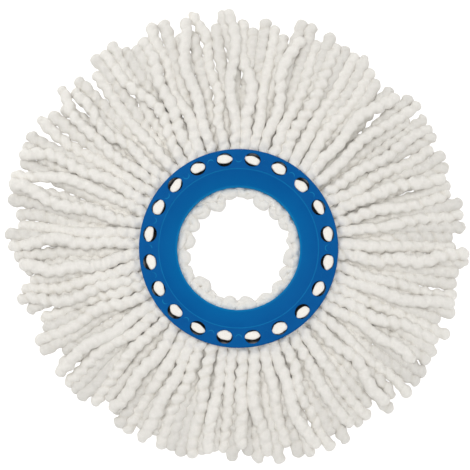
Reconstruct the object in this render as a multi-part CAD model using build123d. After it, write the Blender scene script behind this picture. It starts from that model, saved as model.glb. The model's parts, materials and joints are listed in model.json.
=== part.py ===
"""Replacement head of a round spin mop, lying flat with its fastening side up.

Z is the ring's axis and points up. The origin is on that axis, on the surface the head lies on. Millimetres.
"""

from build123d import *
import math
import os

# Top ring, seen from above: flat band with oval holes, then a band that slopes down to the snap collar
ring_outer_radius = 80.0
bore_radius = 49.5
flat_band_width = 15.5
plate_thickness = 2.6
crease_step = 0.5
inner_band_drop = 6.0
collar_wall = 2.4
collar_length = 6.0
skirt_wall = 2.2
skirt_drop = 2.0
outer_edge_rounding = 1.2
collar_edge_rounding = 1.0

# Oval holes and the yarn crowns that show in them
tuft_count = 20
hole_circle_inset = 8.0
hole_radial_size = 10.8
hole_tangent_size = 13.0
hole_edge_rounding = 0.5
crown_gap = 0.5
crown_sink = 1.0

# Clamp ring below the yarn, with posts that stand in the top ring's sockets
clamp_outer_inset = 3.0
clamp_collar_offset = 5.1
clamp_thickness = 2.4
clamp_edge_rounding = 0.8
rib_width = 1.6
rib_height = 1.4
rib_inner_inset = 7.4
post_radius = 2.5
socket_wall = 1.5
socket_depth = 7.0
socket_gap = 0.1
socket_floor_gap = 0.4
mark_depth = 0.2

# Yarn
strand_radius = 4.3
strand_reach = 188.0
short_strand_loss = 13.0
layer_gap = 0.4
root_end_inset = 0.2
root_foot_height = 1.0
loop_radius = 3.1
loop_reach_radius = 41.0
loop_height = 5.0

# Motion of a tuft: down from lying flat, and up
droop_degrees = 50.0
lift_degrees = 15.0

# Clearances
yarn_gap = 0.2
skirt_gap = 0.6
swing_gap = 0.3
strand_gap = 0.15

# Heights, from the surface upwards
low_layer_height = strand_radius
high_layer_height = 3 * strand_radius + layer_gap
skirt_bottom = high_layer_height + strand_radius + skirt_gap
plate_bottom = skirt_bottom + skirt_drop
ring_top = plate_bottom + plate_thickness
collar_top = ring_top - inner_band_drop
collar_bottom = collar_top - collar_edge_rounding - collar_length

# Radii
crease_radius = ring_outer_radius - flat_band_width
hole_circle_radius = ring_outer_radius - hole_circle_inset
skirt_inner_radius = ring_outer_radius - skirt_wall
collar_outer_radius = bore_radius + collar_wall
clamp_outer_radius = ring_outer_radius - clamp_outer_inset
clamp_inner_radius = collar_outer_radius + clamp_collar_offset
rib_inner_radius = clamp_inner_radius + rib_inner_inset
rib_outer_radius = rib_inner_radius + rib_width
socket_radius = post_radius + socket_gap
boss_radius = socket_radius + socket_wall
root_end_radius = ring_outer_radius - root_end_inset
hinge_radius = root_end_radius + swing_gap + strand_radius

# Angles: the first tuft is half a pitch round from +X, and the posts stand between the tufts
pitch_degrees = 360.0 / tuft_count
half_pitch = math.radians(pitch_degrees / 2)
tuft_angles = [pitch_degrees * (i + 0.5) for i in range(tuft_count)]
post_angles = [pitch_degrees * i for i in range(tuft_count)]


def ring_section(points, roundings):
    """A closed outline in the XZ plane, given as (radius, height) points, with some corners rounded."""
    face = make_face(Polyline(*[(r, 0, z) for r, z in points], close=True)).face()
    for (r, z), rounding in roundings:
        face = face.fillet_2d(rounding, [face.vertices().sort_by_distance((r, 0, z))[0]])
    return face


def around(shape, angles):
    """Copies of a shape that is made on the +X side, turned about Z."""
    return [Rot(0, 0, angle) * shape for angle in angles]


def oval_prism(margin, low, high):
    """Upright prism on the hole circle with the oval hole's outline, drawn in by a margin."""
    outline = Ellipse(hole_radial_size / 2 - margin, hole_tangent_size / 2 - margin)
    return extrude(Pos(hole_circle_radius, 0, low) * outline, high - low)


def upright(radius, low, high):
    """Round post shape on the hole circle."""
    return Pos(hole_circle_radius, 0, low) * Cylinder(
        radius, high - low, align=(Align.CENTER, Align.CENTER, Align.MIN)
    )


def make_top_ring():
    band_corner = (crease_radius, ring_top)
    step_corner = (crease_radius - crease_step, ring_top - crease_step)
    collar_shoulder = (bore_radius, collar_top)
    rim_corner = (ring_outer_radius, ring_top)
    points = [
        (ring_outer_radius, skirt_bottom),
        rim_corner,
        band_corner,
        step_corner,
        collar_shoulder,
        (bore_radius, collar_bottom),
        (collar_outer_radius, collar_bottom),
        (collar_outer_radius, collar_top - plate_thickness),
        (crease_radius, plate_bottom),
        (skirt_inner_radius, plate_bottom),
        (skirt_inner_radius, skirt_bottom),
    ]
    roundings = [(rim_corner, outer_edge_rounding), (collar_shoulder, collar_edge_rounding)]
    ring = revolve(ring_section(points, roundings), Axis.Z)
    socket_mouth = plate_bottom - socket_depth
    ring += around(upright(boss_radius, socket_mouth, plate_bottom + plate_thickness / 2), post_angles)
    ring -= around(upright(socket_radius, socket_mouth, plate_bottom), post_angles)
    ring -= around(upright(post_radius, ring_top - mark_depth, ring_top), post_angles)
    ring -= around(oval_prism(0, skirt_bottom, ring_top), tuft_angles)
    mouths = [
        edge
        for edge in ring.edges().filter_by(GeomType.ELLIPSE)
        if abs(edge.center().Z - ring_top) < crease_step / 2
    ]
    return fillet(mouths, hole_edge_rounding)


def make_clamp_ring():
    bottom_outer = (clamp_outer_radius, 0)
    bottom_inner = (clamp_inner_radius, 0)
    points = [
        bottom_outer,
        (clamp_outer_radius, clamp_thickness),
        (rib_outer_radius, clamp_thickness),
        (rib_outer_radius, clamp_thickness + rib_height),
        (rib_inner_radius, clamp_thickness + rib_height),
        (rib_inner_radius, clamp_thickness),
        (clamp_inner_radius, clamp_thickness),
        bottom_inner,
    ]
    roundings = [(bottom_outer, clamp_edge_rounding), (bottom_inner, clamp_edge_rounding)]
    ring = revolve(ring_section(points, roundings), Axis.Z)
    post_top = plate_bottom - socket_floor_gap
    ring += around(upright(post_radius, clamp_thickness / 2, post_top), post_angles)
    return ring


def wedge(inner_radius, outer_radius, low, high):
    """The upright sector that belongs to one tuft, less its gap to the neighbours."""
    far = outer_radius / math.cos(half_pitch)
    shift = yarn_gap / 2 / math.sin(half_pitch)
    inner, outer = inner_radius - shift, far - shift
    corners = [
        (inner_radius, -inner * math.tan(half_pitch)),
        (far, -outer * math.tan(half_pitch)),
        (far, outer * math.tan(half_pitch)),
        (inner_radius, inner * math.tan(half_pitch)),
    ]
    return extrude(Pos(0, 0, low) * make_face(Polyline(*corners, close=True)), high - low)


def make_root_bundle():
    """The yarn of one tuft where the rings hold it, with the crown that stands up into the oval hole."""
    clamp_clear = clamp_thickness + yarn_gap
    rib_clear = clamp_clear + rib_height
    inner_end = collar_outer_radius + yarn_gap
    points = [
        (root_end_radius, root_foot_height),
        (root_end_radius, skirt_bottom - yarn_gap),
        (skirt_inner_radius - yarn_gap, skirt_bottom - yarn_gap),
        (skirt_inner_radius - yarn_gap, plate_bottom - yarn_gap),
        (crease_radius, plate_bottom - yarn_gap),
        (inner_end, collar_top - plate_thickness - yarn_gap),
        (inner_end, root_foot_height),
        (clamp_inner_radius - yarn_gap, root_foot_height),
        (clamp_inner_radius - yarn_gap, clamp_clear),
        (rib_inner_radius - yarn_gap, clamp_clear),
        (rib_inner_radius - yarn_gap, rib_clear),
        (rib_outer_radius + yarn_gap, rib_clear),
        (rib_outer_radius + yarn_gap, clamp_clear),
        (clamp_outer_radius + yarn_gap, clamp_clear),
        (clamp_outer_radius + yarn_gap, root_foot_height),
    ]
    bundle = revolve(ring_section(points, []), Axis.Z)
    bundle = bundle & wedge(inner_end, ring_outer_radius, 0, ring_top)
    bundle += oval_prism(crown_gap, plate_bottom - 2 * yarn_gap, ring_top - crown_sink)
    notch = upright(boss_radius + yarn_gap, 0, ring_top)
    bundle -= [Rot(0, 0, side * pitch_degrees / 2) * notch for side in (-1, 1)]
    return bundle.solid()


def capsule(start, end, radius):
    """A round-ended strand between two centre points."""
    length = (end - start).length
    diagonal = radius * math.sqrt(0.5)
    outline = [
        ThreePointArc((0, 0, -radius), (diagonal, 0, -diagonal), (radius, 0, 0)),
        Line((radius, 0, 0), (radius, 0, length)),
        ThreePointArc((radius, 0, length), (diagonal, 0, length + diagonal), (0, 0, length + radius)),
        Line((0, 0, length + radius), (0, 0, -radius)),
    ]
    body = revolve(make_face(outline), Axis.Z)
    return (Plane(start, z_dir=end - start) * body).solid()


def how_many(half_width, radius):
    """How many strands of a radius fit side by side, where their centres may lie this far to each side."""
    return 1 + int(2 * half_width / (2 * radius + strand_gap))


def share(step, steps):
    """Where one of some even steps lies between -1 and 1."""
    return 2 * step / steps - 1 if steps else 0


def make_inner_loops():
    """The short loops of one tuft that show in the opening, below the collar."""
    end_radius = loop_reach_radius + loop_radius
    root_radius = collar_outer_radius - loop_radius
    side = end_radius * math.sin(half_pitch) - loop_radius - yarn_gap / 2
    across = how_many(side, loop_radius)
    loops = []
    for i in range(across):
        place = side * share(i, across - 1)
        loop_end = Vector(end_radius, place, loop_height)
        loop_root = Vector(root_radius, place, loop_height)
        loops.append(capsule(loop_end, loop_root, loop_radius))
    return loops


def side_limit(radius):
    """How far to the side a strand's centre may lie, where its centre is this far from the axis."""
    clear = strand_radius + swing_gap / 2
    return (radius * math.sin(half_pitch) - clear) / math.cos(half_pitch)


def make_strands():
    """The free strands of one tuft, fanned out so that drooping tufts keep out of each other."""
    root_side = side_limit(hinge_radius)
    across = how_many(root_side, strand_radius)
    tip_radius = strand_reach - strand_radius
    drooping_tip_radius = hinge_radius + (tip_radius - hinge_radius) * math.cos(math.radians(droop_degrees))
    tip_side = side_limit(drooping_tip_radius)
    lift_room = (high_layer_height - low_layer_height) * math.sin(math.radians(lift_degrees))
    layers = [(low_layer_height, hinge_radius), (high_layer_height, hinge_radius + lift_room)]
    strands = []
    for layer, (height, start_radius) in enumerate(layers):
        for i in range(across):
            start = Vector(start_radius, root_side * share(i, across - 1), height)
            aim = Vector(tip_radius, tip_side * share(2 * i + layer, 2 * across - 1), height)
            loss = short_strand_loss * ((i + layer) % across) / across
            end = aim - (aim - start).normalized() * loss
            strands.append(capsule(start, end, strand_radius))
    return strands


def save(name, shape):
    export_step(shape, f"parts/{name}.step")


os.makedirs("parts", exist_ok=True)
save("top_ring", make_top_ring())
save("clamp_ring", make_clamp_ring())
root_pieces = Compound([make_root_bundle(), *make_inner_loops()])
strand_pieces = Compound(make_strands())
for number, angle in enumerate(tuft_angles, start=1):
    save(f"tuft_root_{number:02d}", Rot(0, 0, angle) * root_pieces)
    save(f"tuft_strands_{number:02d}", Rot(0, 0, angle) * strand_pieces)
print("hinge radius", round(hinge_radius, 3), "height", round(low_layer_height, 3))
print("ring top", round(ring_top, 3), "collar from", round(collar_bottom, 3), "to", round(collar_top, 3))
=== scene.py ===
"""Looks of a spin mop's replacement head: a blue moulded ring and soft beaded yarn. Metres."""

import json
import math

import bpy
import numpy as np
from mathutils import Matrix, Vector


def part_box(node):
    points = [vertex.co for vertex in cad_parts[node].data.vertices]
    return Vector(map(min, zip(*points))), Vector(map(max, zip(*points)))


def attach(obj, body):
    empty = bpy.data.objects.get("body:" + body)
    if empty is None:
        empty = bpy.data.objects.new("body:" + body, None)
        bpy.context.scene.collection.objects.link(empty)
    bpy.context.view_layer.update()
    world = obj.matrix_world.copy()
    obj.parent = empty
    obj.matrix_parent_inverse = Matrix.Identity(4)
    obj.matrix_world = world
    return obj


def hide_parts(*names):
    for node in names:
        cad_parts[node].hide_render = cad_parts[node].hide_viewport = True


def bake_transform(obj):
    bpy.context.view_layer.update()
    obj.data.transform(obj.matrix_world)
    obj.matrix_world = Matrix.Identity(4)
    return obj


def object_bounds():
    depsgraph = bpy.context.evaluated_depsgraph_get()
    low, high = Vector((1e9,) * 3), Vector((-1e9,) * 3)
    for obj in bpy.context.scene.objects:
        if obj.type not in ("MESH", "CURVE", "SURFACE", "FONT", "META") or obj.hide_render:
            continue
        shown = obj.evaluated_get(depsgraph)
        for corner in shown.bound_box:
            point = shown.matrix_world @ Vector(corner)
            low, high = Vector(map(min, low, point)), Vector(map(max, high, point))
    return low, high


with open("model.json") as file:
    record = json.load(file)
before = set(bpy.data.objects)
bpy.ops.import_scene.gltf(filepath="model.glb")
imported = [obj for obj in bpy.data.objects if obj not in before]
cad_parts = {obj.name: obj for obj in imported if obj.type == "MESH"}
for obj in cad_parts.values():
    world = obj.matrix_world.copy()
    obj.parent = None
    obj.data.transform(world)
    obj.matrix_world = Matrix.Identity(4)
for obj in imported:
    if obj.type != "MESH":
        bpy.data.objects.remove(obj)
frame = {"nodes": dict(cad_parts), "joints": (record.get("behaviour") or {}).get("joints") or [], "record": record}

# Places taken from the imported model
CAD_LOW, CAD_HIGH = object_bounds()
RING_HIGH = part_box("top_ring")[1]
RIM_RADIUS = RING_HIGH.x
RING_TOP = RING_HIGH.z
REACH = CAD_HIGH.x
JOINTS = frame["joints"]
BORE = next(m for m in frame["record"]["mounts"] if m["name"] == "disc_bore")
BORE_RADIUS = BORE["dims"]["r_mm"] / 1000
PITCH = 2 * math.pi / len(JOINTS)

# Yarn: soft chenille that looks like a row of beads, a little oval, and turning slowly along its length
YARN_RADIUS = 0.0053
BEAD_LENGTH = 0.0096
BEAD_SIZES = (0.94, 1.08)
BEAD_JITTER = (0.85, 1.15)
NECK_DEPTH = 0.00158
NECK_WIDTH = 0.0025
NECK_DEPTHS = (0.6, 1.0)
NECK_SOFTNESS = (0.70, 1.1)
NECK_TILT = (0.0012, 0.0030)
NECK_LEAN = 0.6
TWIST_PITCH = 0.0192
TWIST_PITCHES = (0.9, 1.1)
OVAL = 0.055
RING_STEP = 0.0007
AROUND = 28
END_RINGS = 9
END_FUZZ = 0.3
# Each fuzz is the size of its lumps and their height
COARSE_FUZZ = (0.0036, 0.00040)
FINE_FUZZ = (0.0012, 0.00016)

# Strands of a tuft, in a layer below and a layer above
STRANDS_IN_LAYER = (4, 3)
STRAND_LETTERS = "abcdefg"
UNRULY = (0.45, 1.0)
FULLNESS = ((1.00, 1.13), (0.93, 1.08))
# Lightness at a strand's end in each layer: painted shade on the lower layer, and a tone that differs at random
# between strands
STRAND_TONES_AND_LOW_LAYER_SHADE = ((0.86, 0.94), (0.96, 1.0))
# Where a strand's shade changes, from the rim, and how light it is under the ring
SHADE_STOPS = (-0.004, -0.001, 0.030, 0.060)
UNDER_RING = 0.03
ROOT_RADIUS = 0.066
ROOT_JITTER, TIP_JITTER = 0.08, 0.28
BOW = 0.0080
WAVE = (0.0010, 0.0034)
WAVE_SPANS = (0.35, 0.75)
WAVE_RISE = 4
FLICK = 0.0080
FLICK_FROM = 0.6
PAST_REACH = 1.1
SHORTER, SHORTER_POWER = 0.085, 1.4
SIDE_LIMITS = (math.radians(7.6), math.radians(7.8), math.radians(8.8))
FREE_STATIONS = np.arange(RIM_RADIUS + 0.009, 0.206, 0.0095)
STATIONS = np.concatenate([[ROOT_RADIUS, RIM_RADIUS - 0.0025], FREE_STATIONS])
FREE_FROM = len(STATIONS) - len(FREE_STATIONS)
TIP_MARGIN, TIP_ROOM = 0.005, 0.004
HEIGHT_RADII = (ROOT_RADIUS, RIM_RADIUS, RIM_RADIUS + 0.040, REACH)
LAYER_HEIGHTS = ((0.0068, 0.0070, 0.0060, 0.0056), (0.0126, 0.0131, 0.0144, 0.0132))
FULL_FROM = 0.030
SQUEEZE = (0.80, 0.93, 1.00)

# How far strands reach in each direction, as a share of the reach: further on one side, and a little oval
REACH_SHARE = 0.994
WIDE_SHARE, WIDE_ANGLE = 0.062, math.radians(95)
OVAL_SHARE, OVAL_ANGLE = 0.019, math.radians(142)

# Settling of the strands onto the surface and each other
SETTLE_STEPS = 180
SINK_STEP = 0.00022
PUSH_SHARE = 0.40
STRAIGHTEN_SHARE = 0.30
TOUCHING = 0.79
FLOOR_CLEAR = 1.22

# Plugs of yarn in the oval holes: share of the full outline at each depth below the plug's top
HOLE_CIRCLE = 0.072
HOLE_RADIAL, HOLE_TANGENT = 0.0054, 0.0065
PLUG_RADIAL, PLUG_TANGENT = (0.60, 0.79), (0.92, 0.99)
PLUG_SLIDE = (-0.9, 0.6)
PLUG_SKEW = 0.22
PLUG_LOBES = ((3, 0.045), (5, 0.03))
PLUG_PROFILE = (
    (0.30, 0.00002), (0.55, 0.00008), (0.80, 0.00020), (0.93, 0.00045), (1.01, 0.0008), (1.03, 0.0012),
    (0.99, 0.0019), (0.98, 0.0034), (0.98, 0.0050), (0.97, 0.0062), (0.80, 0.0070), (0.45, 0.0073),
)
PLUG_AROUND = 48
PLUG_SINK = 0.0003
PLUG_FOOT = 0.0001
COARSE_LUMPS = (0.0019, 0.00020)
FINE_LUMPS = (0.0008, 0.00010)
# Painted shade on a plug's sides: the depths below its top over which it darkens, and how light it is deep in the
# hole
PLUG_SHADE_DEPTHS = (0.0006, 0.0014)
IN_HOLE_SHADE = 0.02

# Yarn at the edge of the middle opening. A stop is a radius, a share of the spread, and a height
LOOP_YARN = (0.82, 0.94)
LOOP_ROUGHNESS = 1.9
EDGE_YARN = (0.0460, 0.0476)
EDGE_WANDER = 0.0012
EDGE_HEIGHT, EDGE_LIFT = 0.0074, 0.0012
EDGE_SPREAD = (0.16, 0.20)
EDGE_START = ((0.0560, -1.0, 0.0058), (0.0500, -0.92, 0.0062))
EDGE_MIDDLE = (-0.6, -0.2, 0.2, 0.6)
EDGE_END = ((0.0500, 0.92, 0.0062), (0.0560, 1.0, 0.0058))
LOOP_TURN = 0.06
LOOP_APEX = (0.0390, 0.0455)
LOOP_WANDER = 0.0010
LOOP_SHOULDER = 0.0030
LOOP_SPREAD = (0.075, 0.130)
LOOP_HEIGHTS = (0.0056, 0.0082)
LOOP_START = ((0.0600, -1.0, 0.0060), (0.0500, -1.1, 0.0058))
LOOP_END = ((0.0500, 1.1, 0.0058), (0.0600, 1.0, 0.0060))

# Starting numbers for the noise of each kind of piece
STRAND_SEED, LOOP_SEED = 100, 7000
COARSE_LUMP_SEED, FINE_LUMP_SEED = 500, 600

# Yarn colours
YARN_TONES = ((0.775, 0.752, 0.705, 1), (0.845, 0.825, 0.782, 1))
# Painted light: a lighter copy of the yarn tones, used for the plugs
PAINTED_LIGHT_YARN_TONES = ((0.870, 0.832, 0.765, 1), (0.935, 0.902, 0.842, 1))
SPECK_TONE = (0.68, 0.655, 0.61, 1)
# Painted shade: a warm darker tone laid into the necks between the beads
NECK_SHADE_TONE = (0.62, 0.585, 0.51, 1)
UNLIT_YARN = (0.010, 0.012, 0.015, 1)

# Noise of the materials: its scale and detail
MOTTLE, SPECK = (260, 3), (1300, 2)
FLOW, CLOUD, SCUFF = (45, 4), (18, 2), (900, 6)

# Ring colours, and the places of its crease and of the round marks over the posts
OUTER_BLUE = (0.0020, 0.088, 0.300, 1)
# Painted highlight: the paler blue that the ring takes on towards the bore
INNER_HIGHLIGHT_BLUE = (0.0016, 0.120, 0.350, 1)
FLOW_BLUE = (0.0030, 0.130, 0.370, 1)
CLOUD_BLUE = (0.0016, 0.075, 0.275, 1)
# Painted highlights along the crease, along the lip at the bore and on the edges of the post marks
CREASE_HIGHLIGHT_BLUE = (0.008, 0.240, 0.500, 1)
LIP_HIGHLIGHT_BLUE = (0.006, 0.260, 0.520, 1)
MARK_HIGHLIGHT_BLUE = (0.012, 0.290, 0.520, 1)
# Painted shade: near-black blue inside the holes
HOLE_SHADE_BLUE = (0.0008, 0.004, 0.012, 1)
CREASE_RADIUS = RIM_RADIUS - 0.0155
CREASE_SHIFT, CREASE_HALF_WIDTH, CREASE_STRENGTH = 0.0004, 0.0006, 0.40
MARK_RADIUS, MARK_HALF_WIDTH = 0.0025, 0.00045
MARK_FLIP = 0.72
HOLE_BAND = (0.0056, 0.0060)

# Floor, light and camera
FLOOR_LEVEL = -0.095
FLOOR_SIZE = 30
FLOOR_GREY, FLOOR_GLOW = 0.55, 0.75
HORIZON_LIGHT, TENT_LIGHT, OVERHEAD_LIGHT = 1.0, 0.38, 2.05
TENT_RANGE, OVERHEAD_RANGE = (0.05, 0.40), (0.80, 0.95)
LAMPS = (("key", (-0.7, 0.6, 1.1), 1.0, 6), ("fill", (1.0, -0.6, 0.9), 1.2, 3))
FRAME_WIDTH, CAMERA_DISTANCE, CAMERA_LEAN = 0.377, 1.5, math.radians(4.5)
CAMERA_TARGET = Vector((-0.0029, 0.0104, RING_TOP))
SENSOR = 36

# A full turn, rounded up: the random phase of a wave
FULL_TURN = 6.3

rng = np.random.RandomState(20)


def either_way(size):
    """A random number from minus a size to the size."""
    return rng.uniform(-size, size)


def lattice_value(cell, seed):
    """A repeatable number from -1 to 1 for each whole-numbered cell."""
    mixed = cell[:, 0] * 374761393 + cell[:, 1] * 668265263 + cell[:, 2] * 1440662683 + seed * 1274126177
    mixed = (mixed & 0xFFFFFFFF) ^ ((mixed & 0xFFFFFFFF) >> 13)
    mixed = (mixed * 1103515245) & 0xFFFFFFFF
    return ((mixed ^ (mixed >> 16)) & 0xFFFF) / 32767.5 - 1


def noise(points, size, seed):
    """Smooth random values from -1 to 1 at some points, with lumps of a size."""
    scaled = points / size
    base = np.floor(scaled).astype(np.int64)
    part = scaled - base
    part = part * part * (3 - 2 * part)
    total = np.zeros(len(points))
    for corner in np.ndindex(2, 2, 2):
        weight = np.prod(np.where(np.array(corner) == 1, part, 1 - part), axis=1)
        total += weight * lattice_value(base + np.array(corner), seed)
    return total


def smooth_line(points):
    """Points along a NURBS spline that has the given control points."""
    curve = bpy.data.curves.new("route", "CURVE")
    curve.dimensions = "3D"
    spline = curve.splines.new("NURBS")
    spline.points.add(len(points) - 1)
    for place, point in zip(spline.points, points):
        place.co = (*point, 1)
    spline.order_u = 3
    spline.use_endpoint_u = True
    spline.resolution_u = 12
    holder = bpy.data.objects.new("route", curve)
    mesh = bpy.data.meshes.new_from_object(holder)
    line = np.array([v.co for v in mesh.vertices], float)
    bpy.data.objects.remove(holder)
    bpy.data.curves.remove(curve)
    bpy.data.meshes.remove(mesh)
    return line


def spaced(line, places):
    """Points at the given lengths along a line, and the line's directions there."""
    steps = np.linalg.norm(np.diff(line, axis=0), axis=1)
    along = np.concatenate([[0], np.cumsum(steps)])
    points = np.stack([np.interp(places, along, line[:, k]) for k in range(3)], axis=1)
    middle = (along[1:] + along[:-1]) / 2
    directions = np.diff(line, axis=0) / steps[:, None]
    facing = np.stack([np.interp(places, middle, directions[:, k]) for k in range(3)], axis=1)
    return points, facing / np.linalg.norm(facing, axis=1)[:, None]


def line_length(line):
    return float(np.linalg.norm(np.diff(line, axis=0), axis=1).sum())


def closed_tube(name, rings, start, end, values):
    """A mesh of rings joined by quads, closed by a fan at each end, with named values at its points."""
    count, around = rings.shape[:2]
    points = np.concatenate([rings.reshape(-1, 3), [start, end]])
    first = np.arange(around)
    following = (first + 1) % around
    ring_starts = np.arange(count - 1)[:, None] * around
    a = ring_starts + first[None, :]
    b = ring_starts + following[None, :]
    quads = np.stack([a, b, b + around, a + around], axis=2).reshape(-1, 4)
    last_ring = (count - 1) * around
    start_fan = np.stack([following, first, np.full(around, count * around)], axis=1)
    end_point = np.full(around, count * around + 1)
    end_fan = np.stack([last_ring + first, last_ring + following, end_point], axis=1)
    corners = np.concatenate([quads.ravel(), start_fan.ravel(), end_fan.ravel()])
    sizes = np.concatenate([np.full(len(quads), 4), np.full(2 * around, 3)])
    starts = np.concatenate([[0], np.cumsum(sizes)[:-1]])
    mesh = bpy.data.meshes.new(name)
    mesh.vertices.add(len(points))
    mesh.vertices.foreach_set("co", points.astype(np.float32).ravel())
    mesh.loops.add(len(corners))
    mesh.loops.foreach_set("vertex_index", corners.astype(np.int32))
    mesh.polygons.add(len(sizes))
    mesh.polygons.foreach_set("loop_start", starts.astype(np.int32))
    mesh.polygons.foreach_set("use_smooth", np.ones(len(sizes), bool))
    mesh.update(calc_edges=True)
    for value_name, grid in values.items():
        attribute = mesh.attributes.new(value_name, "FLOAT", "POINT")
        ends = [grid[0].mean(), grid[-1].mean()]
        attribute.data.foreach_set("value", np.concatenate([grid.ravel(), ends]).astype(np.float32))
    piece = bpy.data.objects.new(name, mesh)
    bpy.context.scene.collection.objects.link(piece)
    return piece


def yarn_places(length, end_round):
    """Where the rings of a yarn stand along it, and how they taper to its round ends."""
    turns = np.linspace(0, math.pi / 2, END_RINGS)[1:-1]
    body = np.arange(end_round, length - end_round, RING_STEP)
    start, end = end_round * (1 - np.cos(turns)), length - end_round * (1 - np.sin(turns))
    taper = np.concatenate([np.sin(turns), np.ones(len(body)), np.cos(turns)])
    return np.concatenate([start, body, end]), taper


def yarn_pinch(places, around, length):
    """How deeply the yarn is drawn in at each point: a slanting neck between each bead and the next."""
    bead = BEAD_LENGTH * rng.uniform(*BEAD_SIZES)
    softness = rng.uniform(*NECK_SOFTNESS)
    pinch = np.zeros((len(places), len(around)))
    neck = rng.uniform(0, bead)
    while neck < length:
        tilt = rng.uniform(*NECK_TILT) * np.cos(around - either_way(NECK_LEAN))
        depth = softness * rng.uniform(*NECK_DEPTHS)
        pinch += depth * np.exp(-(((places[:, None] - neck - tilt[None, :]) / NECK_WIDTH) ** 2))
        neck += bead * rng.uniform(*BEAD_JITTER)
    return pinch


def beaded_yarn(name, line, thickness, seed, shade=None, rough=1):
    """Yarn along a line. thickness and shade give its scale and its lightness at each length along it."""
    length = line_length(line)
    places, taper = yarn_places(length, YARN_RADIUS * thickness(length))
    points, facing = spaced(line, places)
    side = np.cross(facing, [0, 0, 1])
    side /= np.linalg.norm(side, axis=1)[:, None]
    up = np.cross(side, facing)
    around = np.linspace(0, 2 * math.pi, AROUND, endpoint=False)
    first_turn = rng.uniform(0, 2 * math.pi)
    phase = first_turn + 2 * math.pi * places / (TWIST_PITCH * rng.uniform(*TWIST_PITCHES))
    oval = 1 + OVAL * np.cos(2 * (around[None, :] - phase[:, None]))
    pinch = yarn_pinch(places, around, length)
    size = np.array([thickness(place) for place in places]) * taper
    reach = (YARN_RADIUS * oval - NECK_DEPTH * pinch) * size[:, None]
    outward = np.cos(around)[None, :, None] * side[:, None, :]
    outward += np.sin(around)[None, :, None] * up[:, None, :]
    rings = points[:, None, :] + reach[:, :, None] * outward
    flat = rings.reshape(-1, 3)
    kinds = enumerate((COARSE_FUZZ, FINE_FUZZ))
    fuzz = rough * sum(depth * noise(flat, grain, seed + k) for k, (grain, depth) in kinds)
    fuzz = fuzz.reshape(reach.shape) * np.minimum(1, taper + END_FUZZ)[:, None]
    rings = rings + fuzz[:, :, None] * outward
    lightness = np.array([shade(place) if shade else 1 for place in places])[:, None] * np.ones(AROUND)
    values = {"lobe": 1 - np.clip(pinch, 0, 1), "shade": lightness}
    return closed_tube(name, rings, line[0], line[-1], values)


def polar(radius, angle, height):
    return np.array([radius * math.cos(angle), radius * math.sin(angle), height])


def joint_angle(joint):
    """The direction of a tuft's hinge from the axis."""
    place = Vector(joint["pos_m"])
    return math.atan2(place.y, place.x)


def yarn_reach(angle):
    """How far from the axis strands reach in a direction: this head was laid out unevenly."""
    wide = math.cos(angle - WIDE_ANGLE)
    oval = math.cos(2 * (angle - OVAL_ANGLE))
    return REACH * (REACH_SHARE + WIDE_SHARE * wide + OVAL_SHARE * oval)


def strand_plan(tuft_angle, layer, root_share, tip_share):
    """A strand's reach, and its angle and height at each station."""
    spread_tip = tip_share * PITCH / 2
    reach = yarn_reach(tuft_angle + spread_tip) * (1 - SHORTER * rng.uniform(0, 1) ** SHORTER_POWER)
    out = np.clip((STATIONS - RIM_RADIUS) / (REACH - RIM_RADIUS), 0, PAST_REACH)
    spread = root_share * PITCH / 2 * (1 - out) + spread_tip * out
    bow = either_way(BOW) * np.sin(math.pi * np.clip(out, 0, 1))
    wave = rng.uniform(*WAVE)
    wave *= np.sin(2 * math.pi * out / rng.uniform(*WAVE_SPANS) + rng.uniform(0, FULL_TURN))
    flick = either_way(FLICK) * np.clip((out - FLICK_FROM) / (1 - FLICK_FROM), 0, 1.2) ** 2
    sway = UNRULY[layer] * (bow + wave * np.clip(out * WAVE_RISE, 0, 1) + flick) / STATIONS
    height = np.interp(STATIONS, HEIGHT_RADII, LAYER_HEIGHTS[layer])
    angle = tuft_angle + spread + sway
    return {"tuft": tuft_angle, "layer": layer, "reach": reach, "angle": angle, "height": height}


def push_apart(angle, height, radius, there, k):
    """Moves strands that press into each other at a station apart, round the ring and up or down."""
    across = (angle[:, None, k] - angle[None, :, k] + math.pi) % (2 * math.pi) - math.pi
    across = across * STATIONS[k]
    above = height[:, None, k] - height[None, :, k]
    apart = np.hypot(across, above) + 1e-9
    overlap = np.clip(2 * radius[k] * TOUCHING - apart, 0, None)
    overlap *= there[:, None, k] & there[None, :, k]
    np.fill_diagonal(overlap, 0)
    push = PUSH_SHARE * overlap / apart
    angle[:, k] += (push * across).sum(axis=1) / STATIONS[k]
    height[:, k] += (push * above).sum(axis=1)


def straighten(now, then, free):
    """Spreads sharp moves of the free stations along their strands."""
    moved = now - then
    bend = np.zeros_like(moved)
    bend[:, 1:-1] = moved[:, :-2] - 2 * moved[:, 1:-1] + moved[:, 2:]
    bend[:, -1] = moved[:, -2] - moved[:, -1]
    now += np.where(free, STRAIGHTEN_SHARE * bend, 0)


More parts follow.
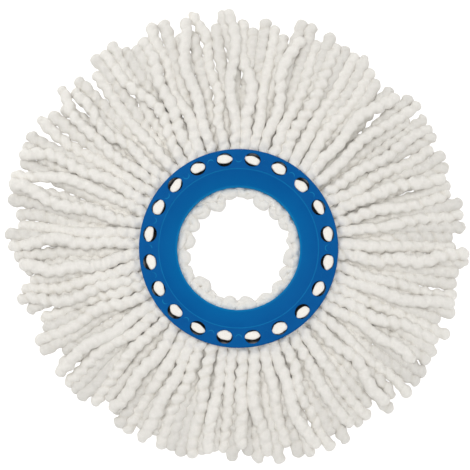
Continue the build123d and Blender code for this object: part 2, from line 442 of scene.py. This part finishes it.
def settle(plans):
    """Lets the strands sink onto the surface and each other, as loose yarn does, in their tuft's sector."""
    tuft = np.array([plan["tuft"] for plan in plans])[:, None]
    reach = np.array([plan["reach"] for plan in plans])[:, None]
    angle = np.array([plan["angle"] for plan in plans])
    height = np.array([plan["height"] for plan in plans])
    first_angle, first_height = angle.copy(), height.copy()
    there = STATIONS[None, :] < reach + TIP_ROOM
    radius = YARN_RADIUS * np.interp(STATIONS, (ROOT_RADIUS, RIM_RADIUS, RIM_RADIUS + FULL_FROM), SQUEEZE)
    limit = np.interp(STATIONS, (ROOT_RADIUS, RIM_RADIUS, REACH), SIDE_LIMITS)
    looseness = np.clip((STATIONS - RIM_RADIUS) / FULL_FROM, 0, 1)
    free = np.arange(len(STATIONS)) >= FREE_FROM
    for step in range(SETTLE_STEPS):
        height = height - SINK_STEP * looseness
        for k in range(FREE_FROM, len(STATIONS)):
            push_apart(angle, height, radius, there, k)
        straighten(angle, first_angle, free)
        straighten(height, first_height, free)
        angle = np.clip(angle, tuft - limit, tuft + limit)
        height = np.maximum(height, radius * FLOOR_CLEAR)
    for plan, turned, raised in zip(plans, angle, height):
        inside = STATIONS < plan["reach"] - TIP_MARGIN
        stops = np.append(STATIONS[inside], plan["reach"])
        angles, heights = np.interp(stops, STATIONS, turned), np.interp(stops, STATIONS, raised)
        plan["route"] = [polar(*stop) for stop in zip(stops, angles, heights)]


def strand_thickness(layer):
    """Squeezed where the ring holds it, and full a little way outside."""
    full = rng.uniform(*FULLNESS[layer])
    rim = RIM_RADIUS - ROOT_RADIUS
    return lambda place: full * float(np.interp(place, (0, rim, rim + FULL_FROM), SQUEEZE))


def strand_shade(layer):
    """Painted shade: dark under the ring, out of the light, and darker on the lower layer's strands; their tone
    also differs a little at random.
    """
    rim = RIM_RADIUS - ROOT_RADIUS
    stops = [rim + stop for stop in SHADE_STOPS]
    # Painted shade under the ring and on the lower layer
    tones = (UNDER_RING, 1, 1, rng.uniform(*STRAND_TONES_AND_LOW_LAYER_SHADE[layer]))
    return lambda place: float(np.interp(place, stops, tones))


def plan_tuft(joint):
    """The strands of one tuft before they settle."""
    plans = []
    for layer, count in enumerate(STRANDS_IN_LAYER):
        for i in range(count):
            share = (2 * i + 1) / count - 1
            root_share = share + either_way(ROOT_JITTER)
            tip_share = share + either_way(TIP_JITTER)
            plans.append(strand_plan(joint_angle(joint), layer, root_share, tip_share))
    return plans


def make_tuft(number, plans, material):
    """The strands of one tuft, laid along their settled routes."""
    made = []
    for letter, plan in zip(STRAND_LETTERS, plans):
        line = smooth_line(plan["route"])
        name = f"strand_{number:02d}_{letter}"
        shade = strand_shade(plan["layer"])
        thickness = strand_thickness(plan["layer"])
        piece = beaded_yarn(name, line, thickness, STRAND_SEED * number + ord(letter), shade)
        piece.data.materials.append(material)
        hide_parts(f"tuft_strands_{number:02d}")
        made.append((plan["reach"], piece, line))
    for _, piece, _ in made:
        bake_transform(piece)


def edge_stops():
    """A length of yarn along the opening's edge, with both ends under the ring."""
    edge = rng.uniform(*EDGE_YARN)
    height = EDGE_HEIGHT + rng.uniform(0, EDGE_LIFT)
    spread = rng.uniform(*EDGE_SPREAD)
    middle = [(edge + either_way(EDGE_WANDER), share, height) for share in EDGE_MIDDLE]
    return [*EDGE_START, *middle, *EDGE_END], spread


def loop_stops():
    """A loop of yarn that turns further into the opening, with both ends under the ring."""
    apex = rng.uniform(*LOOP_APEX)
    spread = rng.uniform(*LOOP_SPREAD)
    height = rng.uniform(*LOOP_HEIGHTS)
    middle = [
        (apex + LOOP_SHOULDER, -0.95, height),
        (apex, -0.35, height),
        (apex + either_way(LOOP_WANDER), 0.35, height),
        (apex + LOOP_SHOULDER, 0.95, height),
    ]
    return [*LOOP_START, *middle, *LOOP_END], spread


def make_inner_loops(number, joint, material):
    """Yarn at the edge of the middle opening: a length along the edge and a loop that turns further in."""
    middle = joint_angle(joint)
    edge, edge_spread = edge_stops()
    turn = middle + either_way(LOOP_TURN)
    loop, loop_spread = loop_stops()
    for letter, stops, centre, spread in (("a", edge, middle, edge_spread), ("b", loop, turn, loop_spread)):
        route = [polar(radius, centre + share * spread, height) for radius, share, height in stops]
        line = smooth_line(route)
        size = rng.uniform(*LOOP_YARN)
        seed = LOOP_SEED + 10 * number + ord(letter)
        piece = beaded_yarn(f"loop_{number:02d}_{letter}", line, lambda s: size, seed, rough=LOOP_ROUGHNESS)
        piece.data.materials.append(material)
        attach(piece, "head")
        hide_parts(f"tuft_root_{number:02d}")


def plug_outline(radial, tangent):
    """The plug's rounded outline at each step of its profile, with a random skew and wobble."""
    skew = either_way(PLUG_SKEW)
    turn = np.linspace(0, 2 * math.pi, PLUG_AROUND, endpoint=False)
    shares = np.array([share for share, _ in PLUG_PROFILE])[:, None]
    wobble = 1
    for lobes, depth in PLUG_LOBES:
        wobble = wobble + depth * np.sin(lobes * turn + rng.uniform(0, 6))
    x = shares * radial * np.cos(turn) * wobble
    y = shares * tangent * np.sin(turn) * wobble
    return x * math.cos(skew) - y * math.sin(skew), x * math.sin(skew) + y * math.cos(skew)


def make_plug(number, joint, material):
    """The squeezed yarn that fills an oval hole. It leaves dark slits towards the rim and the axis, and its sides
    get painted shade below its top.
    """
    angle = joint_angle(joint)
    radial = HOLE_RADIAL * rng.uniform(*PLUG_RADIAL)
    tangent = HOLE_TANGENT * rng.uniform(*PLUG_TANGENT)
    slide = rng.uniform(*PLUG_SLIDE) * (HOLE_RADIAL - radial)
    x, y = plug_outline(radial, tangent)
    depths = np.array([depth for _, depth in PLUG_PROFILE])[:, None]
    local = np.stack([x + slide, y, -depths * np.ones(PLUG_AROUND)], axis=2)
    outward, sideways = polar(1, angle, 0), polar(1, angle + math.pi / 2, 0)
    spin = np.stack([outward, sideways, [0, 0, 1]])
    centre = polar(HOLE_CIRCLE, angle, RING_TOP - PLUG_SINK)
    rings = local @ spin + centre
    flat = rings.reshape(-1, 3)
    coarse, fine = COARSE_LUMPS, FINE_LUMPS
    lift = coarse[1] * noise(flat, coarse[0], COARSE_LUMP_SEED + number)
    lift += fine[1] * noise(flat, fine[0], FINE_LUMP_SEED + number)
    rings = (flat + np.array([0, 0, 1]) * lift[:, None]).reshape(rings.shape)
    top = centre + slide * outward
    bottom = top - np.array([0, 0, PLUG_PROFILE[-1][1] + PLUG_FOOT])
    # Painted shade on the plug's sides, darker deeper in the hole
    shade = np.interp(depths, PLUG_SHADE_DEPTHS, (1, IN_HOLE_SHADE)) * np.ones(PLUG_AROUND)
    values = {"lobe": np.ones(shade.shape), "shade": shade[::-1]}
    piece = closed_tube(f"plug_{number:02d}", rings[::-1], bottom, top, values)
    piece.data.materials.append(material)
    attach(piece, "head")
    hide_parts(f"tuft_root_{number:02d}")


class Shading:
    """Adds nodes to a new material or world. A value is a number, a colour or another node's socket."""

    def __init__(self, owner):
        owner.use_nodes = True
        self.nodes, self.links = owner.node_tree.nodes, owner.node_tree.links

    def put(self, socket, value):
        if isinstance(value, bpy.types.NodeSocket):
            self.links.new(value, socket)
        else:
            socket.default_value = value

    def add(self, kind, output, **inputs):
        """A node of a kind with some inputs, and its named output. Underscores in names stand for spaces."""
        node = self.nodes.new(kind)
        for name, value in inputs.items():
            self.put(node.inputs[name.replace("_", " ")], value)
        return node.outputs[output]

    def coordinates(self, name):
        return self.nodes.new("ShaderNodeTexCoord").outputs[name]

    def attribute(self, name):
        node = self.nodes.new("ShaderNodeAttribute")
        node.attribute_name = name
        return node.outputs["Fac"]

    def split(self, vector):
        node = self.nodes.new("ShaderNodeSeparateXYZ")
        self.links.new(vector, node.inputs["Vector"])
        return [node.outputs[name] for name in "XYZ"]

    def noise(self, place, scale, detail):
        return self.add("ShaderNodeTexNoise", "Fac", Vector=place, Scale=scale, Detail=detail)

    def mix(self, factor, low, high):
        """Colour that goes from low to high with a factor."""
        node = self.nodes.new("ShaderNodeMix")
        node.data_type = "RGBA"
        for name, value in (("Factor", factor), ("A", low), ("B", high)):
            self.put(node.inputs[name], value)
        return node.outputs["Result"]

    def range(self, value, source, target):
        """A value mapped from one range to another and held at its ends."""
        low, high = source
        start, end = target
        limits = {"From_Min": low, "From_Max": high, "To_Min": start, "To_Max": end}
        return self.add("ShaderNodeMapRange", "Result", Value=value, **limits)

    def bump(self, height, distance, strength, normal=None):
        inputs = {"Distance": distance, "Strength": strength, "Height": height}
        if normal:
            inputs["Normal"] = normal
        return self.add("ShaderNodeBump", "Normal", **inputs)

    def math(self, operation, first, second=None):
        node = self.nodes.new("ShaderNodeMath")
        node.operation = operation
        for socket, value in zip(node.inputs, (first, second)):
            if value is not None:
                self.put(socket, value)
        return node.outputs["Value"]

    def length(self, x, y):
        squares = self.math("ADD", self.math("MULTIPLY", x, x), self.math("MULTIPLY", y, y))
        return self.math("SQRT", squares)

    def away(self, value, middle):
        """How far a value is from a middle one."""
        return self.math("ABSOLUTE", self.math("SUBTRACT", value, middle))

    def line(self, distance, middle, half_width):
        """One on a thin line, where a distance has the middle value, and zero away from it."""
        return self.range(self.away(distance, middle), (half_width * 0.4, half_width), (1, 0))


def set_shader(shading, **values):
    """Sets inputs of the shader that a new material has. Underscores in names stand for spaces."""
    shader = shading.nodes["Principled BSDF"]
    for name, value in values.items():
        shading.put(shader.inputs[name.replace("_", " ")], value)


def make_yarn_material(name, tones):
    """Off-white microfibre between two tones: mottled, with painted shade in a warm tone at the necks, and a soft
    nap.
    """
    material = bpy.data.materials.new(name)
    shading = Shading(material)
    place = shading.coordinates("Object")
    mottle = shading.noise(place, *MOTTLE)
    speck = shading.noise(place, *SPECK)
    colour = shading.mix(mottle, *tones)
    colour = shading.mix(shading.range(speck, (0.35, 0.6), (0.25, 0)), colour, SPECK_TONE)
    # Painted shade in the necks between the beads
    neck_shade = shading.range(shading.attribute("lobe"), (0.0, 0.40), (0.35, 0))
    colour = shading.mix(neck_shade, colour, NECK_SHADE_TONE)
    nap = shading.bump(speck, 0.0006, 0.5)
    set_shader(
        shading,
        Base_Color=shading.mix(shading.attribute("shade"), UNLIT_YARN, colour),
        Normal=shading.bump(mottle, 0.0010, 0.30, nap),
        Roughness=0.95,
        Specular_IOR_Level=0.1,
        Sheen_Weight=0.2,
        Sheen_Roughness=0.5,
    )
    return material


def ring_plastic_colour(shading, radius, flow, cloud):
    """Blue with a painted highlight that brightens it towards the bore, clouded, with painted highlights along the
    crease and along the lip at the bore.
    """
    # Painted highlight, brighter towards the bore
    inward_highlight = shading.range(radius, (BORE_RADIUS + 0.002, CREASE_RADIUS), (1, 0))
    colour = shading.mix(inward_highlight, OUTER_BLUE, INNER_HIGHLIGHT_BLUE)
    colour = shading.mix(shading.range(flow, (0.35, 0.70), (0, 0.35)), colour, FLOW_BLUE)
    colour = shading.mix(shading.range(cloud, (0.40, 0.70), (0, 0.35)), colour, CLOUD_BLUE)
    # Painted highlight along the crease
    crease = shading.line(radius, CREASE_RADIUS - CREASE_SHIFT, CREASE_HALF_WIDTH)
    colour = shading.mix(shading.math("MULTIPLY", crease, CREASE_STRENGTH), colour, CREASE_HIGHLIGHT_BLUE)
    # Painted highlight along the lip at the bore
    lip = shading.range(radius, (BORE_RADIUS + 0.0001, BORE_RADIUS + 0.0020), (0.55, 0))
    return shading.mix(lip, colour, LIP_HIGHLIGHT_BLUE)


def post_mark_highlights(shading, radius, turn, flow):
    """Painted highlights on one edge of the round marks over the posts, between the holes: each shows in part,
    some more than others.
    """
    folded = shading.math("PINGPONG", turn, PITCH / 2)
    along = shading.math("MULTIPLY", radius, shading.math("COSINE", folded))
    along = shading.math("SUBTRACT", along, HOLE_CIRCLE)
    across = shading.math("MULTIPLY", radius, shading.math("SINE", folded))
    post = shading.math("ROUND", shading.math("DIVIDE", turn, PITCH))
    which = shading.nodes.new("ShaderNodeTexWhiteNoise")
    which.noise_dimensions = "1D"
    shading.put(which.inputs["W"], post)
    chance = which.outputs["Value"]
    facing = shading.math("SIGN", shading.math("SUBTRACT", chance, MARK_FLIP))
    aside = shading.math("MULTIPLY", along, facing)
    patchy = shading.math("ADD", aside, shading.math("MULTIPLY", flow, 0.006))
    part = shading.range(patchy, (0.0028, 0.0050), (0.02, 0.60))
    part = shading.math("MULTIPLY", part, shading.range(chance, (0.30, 0.60), (0.10, 1)))
    outline = shading.line(shading.length(along, across), MARK_RADIUS, MARK_HALF_WIDTH)
    return shading.math("MULTIPLY", outline, part)


def make_ring_material():
    """Blue moulded plastic with flow marks and scuffs, painted highlights along its crease, its lip and the post
    marks, and painted shade inside its holes.
    """
    material = bpy.data.materials.new("moulded_blue_plastic")
    shading = Shading(material)
    place = shading.coordinates("Object")
    x, y, z = shading.split(place)
    radius = shading.length(x, y)
    turn = shading.math("ARCTAN2", y, x)
    flow = shading.noise(place, *FLOW)
    cloud = shading.noise(place, *CLOUD)
    scuff = shading.noise(place, *SCUFF)
    colour = ring_plastic_colour(shading, radius, flow, cloud)
    # Painted highlights on the edges of the post marks
    colour = shading.mix(post_mark_highlights(shading, radius, turn, flow), colour, MARK_HIGHLIGHT_BLUE)
    # Painted shade on the hole walls and on what shows through the holes below the ring's top
    below = shading.range(z, (RING_TOP - 0.0014, RING_TOP - 0.0004), (0.92, 0))
    in_holes = shading.range(shading.away(radius, HOLE_CIRCLE), HOLE_BAND, (1, 0))
    set_shader(
        shading,
        Base_Color=shading.mix(shading.math("MULTIPLY", below, in_holes), colour, HOLE_SHADE_BLUE),
        Normal=shading.bump(flow, 0.0010, 0.15, shading.bump(scuff, 0.0002, 0.25)),
        Roughness=shading.range(scuff, (0.3, 0.7), (0.34, 0.50)),
        Specular_IOR_Level=0.02,
    )
    return material


def make_floor():
    """A plain pale floor, below the lowest that a bent strand reaches, so that it hides nothing."""
    bpy.ops.mesh.primitive_plane_add(size=FLOOR_SIZE, location=(0, 0, FLOOR_LEVEL))
    floor = bpy.context.object
    floor.name = "floor"
    material = bpy.data.materials.new("pale_floor")
    set_shader(
        Shading(material),
        Base_Color=(FLOOR_GREY, FLOOR_GREY, FLOOR_GREY, 1),
        Emission_Color=(1, 1, 1, 1),
        Emission_Strength=FLOOR_GLOW,
        Roughness=0.9,
        Specular_IOR_Level=0.1,
    )
    floor.data.materials.append(material)


def make_lights():
    """Soft light from all round, strongest overhead, and two large lamps."""
    scene = bpy.context.scene
    scene.world = bpy.data.worlds.new("studio")
    shading = Shading(scene.world)
    z = shading.split(shading.coordinates("Generated"))[2]
    sides = shading.range(z, TENT_RANGE, (HORIZON_LIGHT, TENT_LIGHT))
    overhead = shading.range(z, OVERHEAD_RANGE, (0, OVERHEAD_LIGHT - TENT_LIGHT))
    background = shading.nodes["Background"]
    shading.put(background.inputs["Color"], (1, 1, 1, 1))
    shading.put(background.inputs["Strength"], shading.math("ADD", sides, overhead))
    scene.view_settings.view_transform = "Standard"
    for name, place, size, power in LAMPS:
        light = bpy.data.lights.new(name, "AREA")
        light.size = size
        light.energy = power
        lamp = bpy.data.objects.new(name, light)
        lamp.location = place
        lamp.rotation_euler = (-Vector(place)).to_track_quat("-Z", "Y").to_euler()
        scene.collection.objects.link(lamp)


def make_camera():
    """Looks almost straight down. The head fills the frame and sits a little below its middle."""
    lens = bpy.data.cameras.new("camera")
    lens.sensor_width = SENSOR
    lens.lens = SENSOR * CAMERA_DISTANCE / FRAME_WIDTH
    camera = bpy.data.objects.new("camera", lens)
    away = Vector((0, -math.sin(CAMERA_LEAN), math.cos(CAMERA_LEAN)))
    camera.location = CAMERA_TARGET + CAMERA_DISTANCE * away
    camera.rotation_euler = (CAMERA_LEAN, 0, 0)
    bpy.context.scene.collection.objects.link(camera)
    bpy.context.scene.camera = camera


make_camera()
make_floor()
make_lights()
yarn = make_yarn_material("microfibre_yarn", YARN_TONES)
# A lighter copy of the yarn material, with painted light, for the plugs
painted_light_yarn = make_yarn_material("painted_light_microfibre_yarn", PAINTED_LIGHT_YARN_TONES)
plastic = make_ring_material()
for node in ("top_ring", "clamp_ring"):
    shell = frame["nodes"][node]
    shell.data.materials.clear()
    shell.data.materials.append(plastic)
plans = [plan_tuft(joint) for joint in JOINTS]
settle([plan for tuft in plans for plan in tuft])
for number, joint in enumerate(JOINTS, start=1):
    make_tuft(number, plans[number - 1], yarn)
    make_inner_loops(number, joint, yarn)
    make_plug(number, joint, painted_light_yarn)
